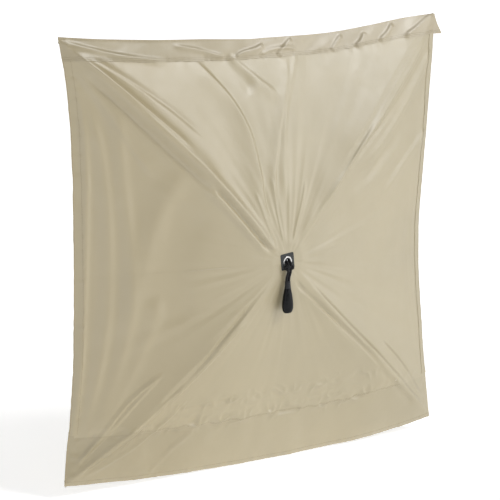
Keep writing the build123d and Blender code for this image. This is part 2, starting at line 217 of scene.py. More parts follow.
def stitch_parts(line):
    """Points, faces and places of a row of stitches that lie along a line."""
    line = np.asarray(line, float)
    run = np.concatenate([[0], np.cumsum(np.linalg.norm(np.diff(line, axis=0), axis=1))])
    starts = np.arange(STITCH_PITCH / 2, run[-1] - STITCH_LENGTH, STITCH_PITCH)
    place = lambda at: np.stack([np.interp(at, run, line[:, k]) for k in range(3)], -1)
    first, ahead = place(starts), place(starts + STITCH_LENGTH) - place(starts)
    ahead_unit = ahead / np.linalg.norm(ahead, axis=1)[:, None]
    helper = np.where(np.abs(ahead_unit[:, 1:2]) < 0.9, [[0.0, 1.0, 0.0]], [[1.0, 0.0, 0.0]])
    a = np.cross(ahead_unit, helper)
    a /= np.linalg.norm(a, axis=1)[:, None]
    b = np.cross(ahead_unit, a)
    turn = np.arange(5) * 2 * pi / 5
    around = a[:, None, :] * np.cos(turn)[None, :, None] + b[:, None, :] * np.sin(turn)[None, :, None]
    rings = [
        first[:, None, :] + ahead[:, None, :] * t + STITCH_R * thick * around
        for t, thick in ((0, 0.3), (0.22, 1), (0.78, 1), (1, 0.3))
    ]
    points = np.stack(rings, 1).reshape(-1, 3)
    bead = grid_faces(4, 5, wrap=True) + [[0, 1, 2, 3, 4], [15, 16, 17, 18, 19]]
    faces = [[k + 20 * n for k in face] for n in range(len(starts)) for face in bead]
    return points, faces, points[:, [0, 2]]


def thickened(front, thick):
    """The other side of a sheet of so much thickness."""
    normal = np.cross(np.gradient(front, axis=0), np.gradient(front, axis=1))
    return front + normal / np.linalg.norm(normal, axis=-1)[..., None] * thick


def sewn(name, body, rows, materials):
    """An object from a (points, faces, uv) body in the first material and stitch rows in the second."""
    parts = [body] + [stitch_parts(row) for row in rows]
    points, faces, uv = merged(parts)
    kinds = [0] * len(body[1]) + [1] * (len(faces) - len(body[1]))
    return make_object(name, points, faces, materials, uv, kinds)


# ---------------------------------------------------------------- materials
class Material:
    """A Principled material under construction."""

    def __init__(self, name, roughness=0.5, metallic=0.0, **sockets):
        self.material = bpy.data.materials.new(name)
        self.material.use_nodes = True
        self.nodes = self.material.node_tree.nodes
        self.links = self.material.node_tree.links
        self.shader = self.nodes["Principled BSDF"]
        self.shader.inputs["Roughness"].default_value = roughness
        self.shader.inputs["Metallic"].default_value = metallic
        for socket, value in sockets.items():
            self.shader.inputs[socket.replace("_", " ")].default_value = value
        self.height = None
        self.coordinates = self.nodes.new("ShaderNodeTexCoord")

    def node(self, kind, **settings):
        made = self.nodes.new("ShaderNode" + kind)
        for key, value in settings.items():
            setattr(made, key, value)
        return made

    def mapped(self, source="Object", scale=(1, 1, 1), rotation=(0, 0, 0)):
        mapping = self.node("Mapping")
        mapping.inputs["Scale"].default_value = scale
        mapping.inputs["Rotation"].default_value = rotation
        self.links.new(self.coordinates.outputs[source], mapping.inputs["Vector"])
        return mapping.outputs["Vector"]

    def noise(self, scale, detail=3.0, distortion=0.0, source="Object", stretch=(1, 1, 1)):
        texture = self.node("TexNoise")
        texture.inputs["Scale"].default_value = scale
        texture.inputs["Detail"].default_value = detail
        texture.inputs["Distortion"].default_value = distortion
        self.links.new(self.mapped(source, stretch), texture.inputs["Vector"])
        return texture.outputs["Fac"]

    def wave(self, scale, direction="X", source="UV", rotation=0.0, distortion=0.0):
        texture = self.node("TexWave", bands_direction=direction)
        texture.inputs["Scale"].default_value = scale
        texture.inputs["Distortion"].default_value = distortion
        self.links.new(self.mapped(source, rotation=(0, 0, rotation)), texture.inputs["Vector"])
        return texture.outputs["Fac"]

    def ramp(self, value, stops):
        ramp = self.node("ValToRGB")
        elements = ramp.color_ramp.elements
        while len(elements) < len(stops):
            elements.new(0.5)
        for element, (place, colour) in zip(elements, stops):
            element.position = place
            element.color = (*colour, 1)
        self.links.new(value, ramp.inputs["Fac"])
        return ramp.outputs["Color"]

    def maths(self, operation, a, b):
        made = self.node("Math", operation=operation)
        for socket, value in zip(made.inputs, (a, b)):
            if isinstance(value, (int, float)):
                socket.default_value = value
            else:
                self.links.new(value, socket)
        return made.outputs["Value"]

    def painted_left_shade(self, value, end_colour):
        """A colour that blends into another one towards the left end of the cloth's flat cut: painted shade
        that darkens the cloth's left end.
        """
        parts = self.node("SeparateXYZ")
        self.links.new(self.mapped("UV"), parts.inputs["Vector"])
        share = self.node("MapRange", interpolation_type="SMOOTHSTEP")
        share.inputs["From Min"].default_value = 0.05
        share.inputs["From Max"].default_value = -0.62
        self.links.new(parts.outputs["X"], share.inputs["Value"])
        blend = self.node("MixRGB", blend_type="MIX")
        self.links.new(share.outputs["Result"], blend.inputs["Fac"])
        self.links.new(value, blend.inputs["Color1"])
        blend.inputs["Color2"].default_value = (*end_colour, 1)
        return blend.outputs["Color"]

    def colour(self, value):
        self.links.new(value, self.shader.inputs["Base Color"])

    def rough(self, value, low, high):
        made = self.node("MapRange")
        made.inputs["To Min"].default_value = low
        made.inputs["To Max"].default_value = high
        self.links.new(value, made.inputs["Value"])
        self.links.new(made.outputs["Result"], self.shader.inputs["Roughness"])

    def bump(self, value, distance, strength=1.0):
        """Adds a relief of so many metres to the relief so far."""
        made = self.node("Bump")
        made.inputs["Distance"].default_value = distance
        made.inputs["Strength"].default_value = strength
        self.links.new(value, made.inputs["Height"])
        if self.height is not None:
            self.links.new(self.height, made.inputs["Normal"])
        self.height = made.outputs["Normal"]
        self.links.new(self.height, self.shader.inputs["Normal"])


def srgb(*channels):
    """A linear colour from 0-255 display values."""
    return tuple((c / 255 / 12.92 if c < 11 else ((c / 255 + 0.055) / 1.055) ** 2.4) for c in channels)


def shade(colour, share):
    return tuple(c * share for c in colour)


TAFFETA_ROUGH = 0.46


def taffeta(name, colour, left_shade):
    """Coated polyester taffeta: fine square weave, slight crinkle, soft sheen and gentle mottling.
    left_shade is a colour that the cloth darkens to towards the panel's left end, as painted shade."""
    made = Material(
        name, TAFFETA_ROUGH, IOR=1.8, Specular_IOR_Level=1.0, Sheen_Weight=0.08, Sheen_Roughness=0.45,
    )
    mottle = made.noise(3.2, 3.0, 0.4)
    threads = made.maths("ADD", made.wave(420.0, "X"), made.wave(420.0, "Y"))
    tone = made.maths("ADD", made.maths("MULTIPLY", mottle, 0.86), made.maths("MULTIPLY", threads, 0.07))
    cloth = made.ramp(tone, [(0.25, shade(colour, 0.93)), (0.5, colour), (0.75, shade(colour, 1.05))])
    # painted shade: the cloth's colour darkens towards the panel's left end
    made.colour(made.painted_left_shade(cloth, left_shade))
    made.rough(made.noise(24.0, 4.0), TAFFETA_ROUGH - 0.05, TAFFETA_ROUGH + 0.09)
    made.bump(made.noise(7.0, 2.0, 0.6, "UV"), 0.004, 0.35)
    made.bump(made.noise(46.0, 4.0, 0.9, "UV"), 0.0005, 0.5)
    made.bump(threads, 0.00002, 0.5)
    return made.material


def webbing(name, colour, rib=700.0):
    """Woven tape: ribs across it and a fine herringbone of threads."""
    made = Material(name, 0.72, Sheen_Weight=0.25, Sheen_Roughness=0.5, Specular_IOR_Level=0.3)
    ribs = made.wave(rib, "Y")
    twill = made.wave(rib * 0.6, "X", rotation=radians(35), distortion=0.5)
    weave = made.maths("MULTIPLY", ribs, twill)
    # the weave in colour: darker in the grooves between ribs as painted shade and a little lighter on their
    # crests as painted highlight
    made.colour(made.ramp(weave, [(0.0, shade(colour, 0.7)), (0.6, colour), (1.0, shade(colour, 1.15))]))
    made.rough(made.noise(300.0, 3.0), 0.6, 0.85)
    made.bump(weave, 0.00015, 0.7)
    return made.material


def braid(name, colour):
    """A round cord's plaited cover, laid out by the cord's own (round, along) places."""
    made = Material(name, 0.5, Sheen_Weight=0.05, Sheen_Roughness=0.4, Specular_IOR_Level=0.25)
    left = made.node("TexWave", bands_direction="DIAGONAL")
    right = made.node("TexWave", bands_direction="DIAGONAL")
    for texture, twist in ((left, 1.0), (right, -1.0)):
        texture.inputs["Scale"].default_value = 1.0
        made.links.new(made.mapped("UV", (3.2 * twist, 95.0, 1.0)), texture.inputs["Vector"])
    plait = made.maths("MULTIPLY", left.outputs["Fac"], right.outputs["Fac"])
    # the plait in colour: darker in its grooves as painted shade and lighter on its crests as painted
    # highlight
    made.colour(made.ramp(plait, [(0.0, shade(colour, 0.45)), (0.5, colour), (1.0, shade(colour, 1.6))]))
    made.rough(made.noise(500.0, 2.0), 0.4, 0.65)
    made.bump(plait, 0.0005, 0.8)
    return made.material


def moulded(name, colour, roughness, grain=900.0, relief=0.00006, **sockets):
    """Moulded plastic or rubber with a fine grain."""
    made = Material(name, roughness, **sockets)
    wear = made.noise(35.0, 4.0)
    made.colour(made.ramp(wear, [(0.3, shade(colour, 0.8)), (0.55, colour), (0.8, shade(colour, 1.3))]))
    made.rough(made.noise(120.0, 3.0), roughness - 0.06, roughness + 0.1)
    made.bump(made.noise(grain, 2.0), relief, 0.6)
    return made.material


def metal(name, colour, roughness, stretch=(1, 1, 1)):
    made = Material(name, roughness, 1.0)
    grain = made.noise(260.0, 4.0, 0.0, "Object", stretch)
    made.colour(made.ramp(grain, [(0.2, shade(colour, 0.75)), (0.6, colour), (0.9, shade(colour, 1.08))]))
    made.rough(made.noise(90.0, 4.0), roughness - 0.07, roughness + 0.12)
    made.bump(grain, 0.00003, 0.5)
    return made.material


# the second colour of each cloth is painted shade that it darkens to towards the panel's left end
CLOTH_MATERIAL = taffeta("taffeta", srgb(159, 146, 110), left_shade=srgb(152, 137, 97))
# the header, skirt and hem are copies of the cloth made a little darker, as painted shade
HEADER_MATERIAL = taffeta("taffeta_header", srgb(157, 143, 109), left_shade=srgb(138, 123, 82))
SKIRT_MATERIAL = taffeta("taffeta_skirt", srgb(155, 142, 106), left_shade=srgb(141, 126, 84))
HEM_MATERIAL = taffeta("taffeta_hem", srgb(158, 145, 109), left_shade=srgb(150, 135, 94))
PATCH_MATERIAL = webbing("patch_weave", srgb(60, 62, 61), 900.0)
TAB_MATERIAL = webbing("tab_webbing", srgb(140, 128, 98))
CORD_MATERIAL = braid("cord_cover", srgb(17, 16, 20))
GRIP_MATERIAL = moulded("grip_rubber", srgb(5, 6, 8), 0.2, 700.0, 0.00003, Specular_IOR_Level=0.2)
SLEEVE_MATERIAL = moulded("sleeve_rubber", srgb(34, 35, 37), 0.42, Specular_IOR_Level=0.25)
HUB_MATERIAL = moulded("hub_plastic", srgb(34, 34, 36), 0.42)
ROD_MATERIAL = moulded("fibreglass", srgb(52, 52, 54), 0.34, 500.0, Coat_Weight=0.3)
EYELET_MATERIAL = metal("eyelet_nickel", (0.72, 0.71, 0.69), 0.24)
STEEL_MATERIAL = metal("zinc_steel", (0.56, 0.57, 0.58), 0.34)
FITTING_MATERIAL = metal("fitting_aluminium", (0.62, 0.63, 0.64), 0.38, (1, 1, 12))
THREAD_MATERIAL = moulded("thread", srgb(120, 108, 80), 0.6, 2500.0, 0.0001)
DARK_THREAD_MATERIAL = moulded("dark_thread", srgb(36, 36, 38), 0.6, 2500.0, 0.0001)

# ---------------------------------------------------------------- pull cord
CORD_R = 0.00475
STRAND_OFFSET = 0.0054
# the middle of the pair of strands, and how far apart from it each one's own middle lies
PAIR_ROUTE = (
    (0.0, -0.0385, 0.0),
    (0.0, -0.0500, -0.0012),
    (-0.0008, -0.0552, -0.0140),
    (-0.0016, -0.0548, -0.0300),
    (-0.0030, -0.0549, -0.0420),
    (-0.0102, -0.0550, -0.0590),
    (-0.0102, -0.0550, -0.0730),
)
PAIR_SPREAD = (0.0072, 0.0062) + 5 * (STRAND_OFFSET,)

cords = {}
for name, side in (("right", 1), ("left", -1)):
    route = [(x + side * spread, y, z) for (x, y, z), spread in zip(PAIR_ROUTE, PAIR_SPREAD)]
    path = along_spline(route)
    points, faces, places = tube_parts(path, CORD_R, 24)
    cord = make_object("pull_strand_" + name, points, faces, [CORD_MATERIAL], places)
    cords[name] = (cord, path)

LOBE_X, LOBE_Y, LOBE_Z = 0.0061, 0.0042, 0.0037
KNOT_MIDDLE = np.array([-0.0040, -0.0538, -0.0235])


def knot_turns():
    """A closed overhand turn about the two strands: two lobes beside them and a crossing in front."""
    turn = np.linspace(0, 2 * pi, 120, endpoint=False)
    x = LOBE_X * (np.sin(turn) + 2.1 * np.sin(2 * turn))
    z = LOBE_Z * (np.cos(turn) - 2 * np.cos(2 * turn))
    y = -LOBE_Y * np.sin(3 * turn)
    return KNOT_MIDDLE + np.stack([x, y, z], -1)


points, faces, places = tube_parts(knot_turns(), 0.0050, 20, closed=True)
knot = make_object("pull_knot_turns", points, faces, [CORD_MATERIAL], places)
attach(knot, "pull")
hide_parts("pull_knot")

# ---------------------------------------------------------------- grip and its sleeve
GRIP_X, GRIP_Y, GRIP_TOP = -0.0102, -0.0550, -0.0710
SLEEVE_LENGTH = 0.026
SLEEVE_RIBS = 4
# below the sleeve's top: half width along X, half depth along Y
GRIP_PROFILE = (
    (0.000, 0.0112, 0.0078),
    (0.013, 0.0115, 0.0082),
    (0.026, 0.0132, 0.0094),
    (0.040, 0.0162, 0.0109),
    (0.054, 0.0192, 0.0124),
    (0.070, 0.0216, 0.0136),
    (0.086, 0.0234, 0.0144),
    (0.098, 0.0231, 0.0143),
    (0.107, 0.0211, 0.0135),
    (0.114, 0.0178, 0.0116),
    (0.118, 0.0134, 0.0086),
    (0.119, 0.0060, 0.0040),
    (0.1191, 0.0004, 0.0003),
)


def lofted(rows, square):
    """Points, faces and places of a closed body through level rings: (down, half width, half depth)."""
    turn = np.arange(64) * 2 * pi / 64
    bend = lambda v: np.sign(v) * np.abs(v) ** (2 / square)
    rings = [
        np.stack([
            GRIP_X + w * bend(np.cos(turn)), GRIP_Y + d * bend(np.sin(turn)), 0 * turn + GRIP_TOP - down,
        ], -1)
        for down, w, d in rows
    ]
    points = np.concatenate(rings)
    faces = grid_faces(len(rings), 64, wrap=True)
    last = (len(rings) - 1) * 64
    faces += [list(range(64)), list(range(last, last + 64))]
    uv = np.stack(np.meshgrid(turn / (2 * pi), [r[0] for r in rows]), -1).reshape(-1, 2)
    return points, faces, uv


down = np.concatenate([
    np.linspace(SLEEVE_LENGTH, 0.098, 40, endpoint=False),
    0.098 + 0.0211 * np.sin(np.linspace(0, pi / 2, 24)),
])
profile = np.array(GRIP_PROFILE)
widths = np.interp(down, profile[:, 0], profile[:, 1])
depths = np.interp(down, profile[:, 0], profile[:, 2])
points, faces, places = lofted(list(zip(down, widths, depths)), 2.2)
# a shallow plain oval sunk into the front face
OVAL_DOWN, OVAL_HALF_HEIGHT, OVAL_HALF_WIDTH, OVAL_SUNK = 0.066, 0.034, 0.0105, 0.0006
along = (-points[:, 2] + GRIP_TOP - OVAL_DOWN) / OVAL_HALF_HEIGHT
across = (points[:, 0] - GRIP_X) / OVAL_HALF_WIDTH
oval = smooth(1.08, 0.92, np.hypot(along, across)) * (points[:, 1] < GRIP_Y)
points[:, 1] += OVAL_SUNK * oval
grip = make_object("grip_body", points, faces, [GRIP_MATERIAL], places)
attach(grip, "pull")
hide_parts("pull_grip")

down = np.linspace(0, SLEEVE_LENGTH, 64)
rib = 0.0006 * (0.5 - 0.5 * np.cos(2 * pi * SLEEVE_RIBS * down / SLEEVE_LENGTH)) - 0.0004
widths = np.interp(down, profile[:, 0], profile[:, 1]) + rib
depths = np.interp(down, profile[:, 0], profile[:, 2]) + rib
points, faces, places = lofted(list(zip(down, widths, depths)), 2.2)
sleeve = make_object("grip_collar", points, faces, [SLEEVE_MATERIAL], places)
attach(sleeve, "pull")
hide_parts("grip_sleeve")

for name, nodes in (("right", ("pull_neck", "pull_cord_upper")), ("left", ("pull_loop", "pull_cord_lower"))):
    cord, path = cords[name]
    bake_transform(cord)
    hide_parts(*nodes)

# ---------------------------------------------------------------- the cloth's shape
HALF_WIDTH, TOP, BOTTOM = 0.862, 0.850, -0.750
TOP_BAND, BOTTOM_BAND, SIDE_HEM = 0.078, 0.184, 0.030
POP_OUT, FLAT_R, CLOTH_START_R = 0.190, 0.070, 0.047
ROD_SAG, TOP_SAG, LEFT_SAG, RIGHT_SAG, SKIRT_DROP = 0.030, 0.045, 0.056, 0.066, 0.045
GORE_BULGE = 0.6
CLOTH_FRONT = -0.0396
RIDGE_ROUND = 0.012
HOLLOW_LIMIT = 0.006
CLOTH_THICK = 0.0008

# folds that stand out from the cloth, in millimetres: height, reach on the left and on the right of
# the line, then the line through its places in the flat outline; a negative height is a hollow
FOLDS = (
    # top left rod: a deep fold under the ridge, a light band beside it near the hub, and streaks above
    (17, 21, 55, ((-300, 285), (-440, 412), (-534, 503), (-682, 652), (-815, 788))),
    (-5, 11, 14, ((-330, 270), (-448, 376), (-541, 462), (-690, 612), (-812, 735))),
    (9, 12, 22, ((-40, 30), (-81, 70), (-130, 122), (-212, 206), (-300, 296), (-420, 410))),
    (-6, 9, 9, ((-70, 42), (-130, 92), (-212, 174), (-288, 250), (-350, 310))),
    (7, 16, 18, ((-70, 20), (-157, 92), (-230, 165), (-309, 240), (-390, 310))),
    (4, 8, 16, ((-400, 430), (-540, 555), (-690, 690), (-830, 825))),
    (3.5, 8, 16, ((-330, 470), (-480, 600), (-640, 715), (-810, 815))),
    (5, 14, 40, ((-560, 330), (-660, 470), (-770, 660), (-825, 760))),
    # top middle: two creases that drop from the header, and upright streaks above the hub
    (8, 9, 60, ((-330, 800), (-255, 720), (-181, 618), (-128, 490), (-112, 350), (-105, 220), (-60, 110))),
    (5.0, 10, 40, ((-150, 800), (-110, 755), (-40, 690), (60, 610))),
    (-5, 40, 30, ((-190, 800), (-130, 720), (-70, 640))),
    (5, 10, 26, ((120, 800), (95, 690), (33, 543), (-10, 420), (-43, 300), (-45, 180))),
    (4.5, 12, 20, ((175, 800), (120, 690), (67, 570), (29, 440), (10, 330), (2, 200))),
    (3, 6, 9, ((-60, 60), (-84, 120), (-120, 200), (-150, 280))),
    (3, 6, 9, ((-14, 60), (-30, 130), (-50, 240), (-60, 330))),
    (3, 6, 9, ((24, 60), (50, 130), (90, 220), (120, 300))),
    # top right rod: a hollow on each side of a narrow ridge, and soft folds below them
    (-6, 13, 9, ((240, 236), (378, 378), (454, 453), (582, 582), (700, 697), (850, 835))),
    (7, 11, 11, ((180, 160), (300, 284), (440, 412), (560, 517), (700, 648), (838, 785))),
    (-8, 9, 14, ((250, 220), (390, 352), (506, 438), (590, 500), (679, 573), (821, 716))),
    (8, 18, 22, ((420, 300), (560, 400), (690, 515), (800, 645), (848, 730))),
    (-8, 18, 30, ((420, 230), (534, 318), (679, 424), (780, 540), (835, 640))),
    (7, 12, 30, ((560, 170), (717, 300), (800, 362), (858, 420))),
    (5, 36, 44, ((330, 150), (480, 250), (620, 350), (740, 460))),
    # bottom left rod: a crease beside the ridge, then several that fan out from the corner
    (-8, 8, 9, ((-150, -122), (-230, -193), (-310, -266), (-378, -334), (-475, -418), (-560, -500))),
    (6, 8, 12, ((-170, -180), (-300, -290), (-400, -385), (-520, -490))),
    (6, 8, 9, ((-440, -400), (-617, -553), (-713, -628), (-840, -734))),
    (-6, 7, 8, ((-450, -430), (-600, -568), (-700, -645), (-820, -730))),
    (6, 7, 10, ((-540, -365), (-644, -446), (-730, -545), (-842, -705))),
    (5, 7, 10, ((-520, -350), (-640, -470), (-745, -585), (-842, -690))),
    (5, 7, 10, ((-430, -405), (-540, -510), (-650, -600), (-790, -704))),
    (5, 7, 10, ((-400, -455), (-500, -545), (-630, -640), (-800, -731))),
    (5, 14, 12, ((-340, -585), (-420, -640), (-470, -700), (-500, -735))),
    (-5, 40, 40, ((-640, -590), (-560, -640), (-420, -740))),
    # bottom right rod
    (-8, 9, 7, ((30, -62), (70, -104), (120, -142), (199, -201), (313, -288), (461, -406), (600, -530))),
    (4, 14, 26, ((60, -100), (160, -180), (300, -310), (458, -440))),
    (5, 12, 26, ((120, -100), (260, -215), (400, -330), (560, -460))),
    (5, 10, 16, ((420, -340), (560, -460), (700, -588), (842, -722))),
    (-5, 10, 14, ((500, -455), (640, -575), (760, -680))),
    (5, 10, 18, ((560, -380), (690, -500), (832, -680))),
    # left gore: broad upright folds, and the bright streaks that run down into the bottom corner
    (9, 14, 17, ((-828, 740), (-817, 424), (-822, 171), (-832, -153), (-842, -405), (-852, -640))),
    (10, 22, 30, ((-812, 690), (-762, 390), (-745, 60), (-765, -270), (-838, -650))),
    (9, 26, 34, ((-700, 620), (-698, 451), (-690, 300), (-670, 60), (-690, -260), (-832, -670))),
    (9, 40, 50, ((-430, 390), (-506, 297), (-555, 222), (-600, 120), (-640, -40), (-690, -260))),
    (-9, 60, 60, ((-420, 250), (-480, 120), (-500, -60), (-470, -220))),
    (7, 30, 44, ((-560, -60), (-600, -220), (-680, -400), (-810, -640))),
    # right edge
    (6, 22, 26, ((850, 640), (816, 350), (806, 40), (816, -280), (848, -640))),
    (5, 30, 36, ((760, 150), (735, -90), (765, -330), (838, -640))),
    # header: folds that run in from its ends, and short creases up from its seam
    (6, 8, 18, ((-850, 842), (-760, 822), (-640, 800), (-520, 785), (-420, 778))),
    (5, 7, 14, ((-400, 838), (-300, 822), (-220, 800), (-160, 780))),
    (6, 6, 18, ((-130, 776), (-90, 800), (-30, 812), (20, 830))),
    (6, 7, 20, ((70, 775), (88, 796), (120, 822), (150, 845))),
    (5, 10, 8, ((-20, 778), (40, 800), (110, 806), (180, 795))),
    (6, 8, 18, ((330, 776), (350, 800), (392, 838))),
    (5, 8, 16, ((450, 776), (480, 798), (500, 830))),
    (6, 8, 18, ((560, 778), (610, 806), (640, 842))),
    (6, 8, 16, ((690, 778), (740, 800), (812, 836), (858, 848))),
)
FOLD_FADE = 0.18
FOLD_STEPS = 36


def through(places, steps):
    """Points of a smooth line through the places."""
    p = np.array(places, float)
    p = np.concatenate([[2 * p[0] - p[1]], p, [2 * p[-1] - p[-2]]])
    found = []
    for a, b, c, d in zip(p, p[1:], p[2:], p[3:]):
        t = np.linspace(0, 1, max(2, steps // (len(p) - 3)), endpoint=False)[:, None]
        square, cube = 2 * a - 5 * b + 4 * c - d, 3 * b - a - 3 * c + d
        found.append(0.5 * (2 * b + (c - a) * t + square * t**2 + cube * t**3))
    return np.concatenate(found + [p[-2:-1]])


def fold_relief(x, z):
    """How far the folds bring each place of the outline forwards."""
    total = np.zeros(x.size)
    place = np.stack([x.ravel(), z.ravel()], -1)
    for height, left, right, path in FOLDS:
        height, left, right = height / 1000, left / 1000, right / 1000
        line = through(path, FOLD_STEPS) / 1000
        reach = 3 * max(left, right)
        near = np.all((place > line.min(0) - reach) & (place < line.max(0) + reach), axis=1)
        if not near.any():
            continue
        start, run = line[:-1], np.diff(line, axis=0)
        offset = place[near][:, None, :] - start
        t = np.clip((offset * run).sum(-1) / (run**2).sum(-1), 0, 1)
        away = offset - t[..., None] * run
        distance = np.hypot(away[..., 0], away[..., 1])
        nearest = distance.argmin(1)
        rows = np.arange(len(nearest))
        cross = run[nearest, 0] * offset[rows, nearest, 1] - run[nearest, 1] * offset[rows, nearest, 0]
        width = np.where(cross > 0, left, right)
        share = (nearest + t[rows, nearest]) / len(run)
        fade = smooth(0, FOLD_FADE, share) * smooth(0, FOLD_FADE, 1 - share)
        total[near] += height * fade * np.exp(-((distance[rows, nearest] / width) ** 2))
    return total.reshape(x.shape)


HEADER_Z = TOP - TOP_BAND
SKIRT_Z = BOTTOM + BOTTOM_BAND
HEM_X = HALF_WIDTH - SIDE_HEM


def fine_relief(x, z):
    """Billows, tension wrinkles that run out from the hub, and puckers beside the seams."""
    r, turn = np.hypot(x, z), np.arctan2(z, x)
    relief = 0.0050 * noise(x / 0.26 + 9, z / 0.38 + 5, 1) + 0.0022 * noise(x / 0.11, z / 0.15, 2)
    relief += 0.0014 * smooth(0.05, 0.3, r) * noise(turn * 17, r / 0.30, 3)
    relief += 0.0018 * smooth(0.05, 0.08, r) * smooth(0.42, 0.10, r) * noise(turn * 9, r / 0.2, 4)
    ripple = noise(x / 0.013, z / 0.05, 5) + 0.7 * noise(x / 0.03, z / 0.08, 6)
    relief += 0.0017 * ripple * np.exp(-np.abs(z - HEADER_Z) / 0.014) * (0.5 + 0.5 * smooth(-0.5, 0.6, x))
    relief += 0.0028 * noise(x / 0.07 - z / 0.06, z / 0.05, 13) * smooth(HEADER_Z - 0.004, HEADER_Z + 0.02, z)
    gathered = smooth(-0.62, -0.42, x) * smooth(0.62, 0.40, x)
    warp = 0.6 * noise(x / 0.08, z / 0.08, 14)
    crumple = 0.6 - 2 * np.abs(noise(x / 0.034 + warp, z / 0.03 - warp, 7))
    crumple += 0.8 * noise(x / 0.06, z / 0.03 + warp, 8)
    relief += 0.0062 * crumple * np.exp(-(((z - SKIRT_Z) / 0.026) ** 2)) * (0.25 + 0.75 * gathered)
    relief += 0.0045 * crumple * np.exp(-(((z - SKIRT_Z - 0.07) / 0.022) ** 2)) * gathered
    relief += 0.0022 * noise(z / 0.018, x / 0.04, 9) * np.exp(-np.abs(np.abs(x) - HEM_X) / 0.012)
    relief += 0.0075 * noise(x / 0.10 + z / 0.3, z / 0.16, 10) * smooth(SKIRT_Z + 0.03, SKIRT_Z - 0.05, z)
    relief += 0.0020 * noise(x / 0.016, z / 0.03, 11) * np.exp(-np.abs(z - BOTTOM) / 0.018)
    return relief


def edge_curves(x, z, nearness):
    """How far each free edge sags at places of the outline: the panel's left or right edge, and its
    top or bottom edge."""
    even = 1 - nearness**2
    eased = (np.sqrt(nearness**2 + 0.06**2) - 0.06) / (np.sqrt(1 + 0.06**2) - 0.06)
    left = LEFT_SAG * np.where(z > 0, 1 - nearness**4, even)
    right = RIGHT_SAG * np.where(z > 0, np.clip(1 - eased, 0, 1) ** 1.25, even)
    top = TOP_SAG * np.where(x > 0, 1 - smooth(0.3, 1.0, nearness), even)
    bottom = SKIRT_DROP * np.where(x > 0, 1 - nearness**3, even)
    return np.where(x > 0, right, left), np.where(z > 0, top, bottom)


def cloth_surface(x, z):
    """The cloth's front face at places of the flat outline."""
    across = np.abs(x) / HALF_WIDTH
    up = np.where(z > 0, z / TOP, z / BOTTOM)
    spread = np.sqrt((across - up) ** 2 + RIDGE_ROUND**2)
    reach = np.maximum((across + up + spread) / 2, 1e-6)
    rounded = np.clip((across + up - spread) / 2, 0, None) / reach
    nearness = np.minimum(across, up) / np.maximum(np.maximum(across, up), 1e-6)
    r = np.hypot(x, z)
    share = np.clip((r - FLAT_R) / np.maximum(r / reach - FLAT_R, 1e-6), 0, 1)
    bow = GORE_BULGE + (1 - GORE_BULGE) * rounded**3
    depth = POP_OUT * ((1 - bow) * share + bow * share**2)
    side_sag, end_sag = edge_curves(x, z, nearness)
    rod_sag = 4 * ROD_SAG * share * (1 - share)
    beside = across > up
    pull_in = np.where(beside, rod_sag + side_sag * reach**2, rod_sag * nearness)
    drop = np.where(beside, 0, end_sag * reach**2)
    relief = fold_relief(x, z) + fine_relief(x, z)
    hollow = -HOLLOW_LIMIT * np.tanh(-relief / HOLLOW_LIMIT) * smooth(0.066, 0.12, r)
    relief = np.where(relief < 0, hollow, relief * smooth(0.040, 0.085, r))
    pleats = noise(np.arctan2(z, x) * 7, r / 0.05, 12)
    relief += 0.0006 * smooth(0.03, 0.05, r) * pleats * smooth(0.12, 0.07, r)
    return np.stack([x - np.sign(x) * pull_in, CLOTH_FRONT + depth - relief, z - drop], -1)


def cloth_piece(
    name, x, z, body, node, material, forward=0.0, thick=CLOTH_THICK, squash=None, stitched=(),
):
    """A closed sheet over a grid of places in the flat outline, stitched along some rows of the grid."""
    front = cloth_surface(x, z)
    front[..., 1] -= forward
    back = front + np.array([0, thick, 0])
    rows = [front[k] - np.array([0, 0.0001, 0]) for k in stitched]
    rows += [back[k] + np.array([0, 0.0001, 0]) for k in stitched]
    obj = sewn(name, plate(front, back, np.stack([x, z], -1)), rows, [material, THREAD_MATERIAL])
    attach(obj, body)
    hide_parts(node)
    if squash:
        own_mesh(obj)
    return obj


CORNERS = {
    "top_left": (-1, TOP),
    "top_right": (1, TOP),
    "bottom_left": (-1, BOTTOM),
    "bottom_right": (1, BOTTOM),
}
PIVOT_R, PIVOT_Y = 0.052, -0.024
FOLD_KEEP = 0.18
FOLD_SPLAY = radians(9.6)
FOLD_TANGENT = 0.971
FOLD_DEPTH = 0.239
FOLD_ANCHOR = 0.025


def fold_up(corner, towards_end):
    """How the cloth on one side of a rod gathers as the rod folds forwards."""
    side, limit = CORNERS[corner]
    reach = hypot(HALF_WIDTH, limit)
    radial = np.array([side * HALF_WIDTH / reach, 0, limit / reach])
    tangent = np.array([-radial[2], 0, radial[0]])
    median = np.array([0, 0, limit]) if towards_end else np.array([side * HALF_WIDTH, 0, 0])
    if tangent @ median < 0:
        tangent = -tangent
    y_axis = np.array([0, 1.0, 0])
    axis = FOLD_TANGENT * tangent + FOLD_DEPTH * (cos(FOLD_SPLAY) * y_axis - sin(FOLD_SPLAY) * radial)
    away = cos(FOLD_SPLAY) * y_axis + sin(FOLD_SPLAY) * radial
    anchor = PIVOT_R * radial + PIVOT_Y * y_axis - FOLD_ANCHOR * away
    return {
        "joint": "rod_fold_" + corner, "axis": tuple(axis), "anchor": tuple(anchor),
        "keep": FOLD_KEEP,
    }


GORE_COLUMNS, GORE_ROWS = 150, 150
UNDERLAP = 0.012


def outline(points, count, dense_end):
    """Places along a polyline, closer together at its far end."""
    points = np.array(points, float)
    run = np.concatenate([[0], np.cumsum(np.linalg.norm(np.diff(points, axis=0), axis=1))])
    t = 1 - (1 - np.linspace(0, 1, count)) ** dense_end
    return np.stack([np.interp(t * run[-1], run, points[:, k]) for k in (0, 1)], -1)


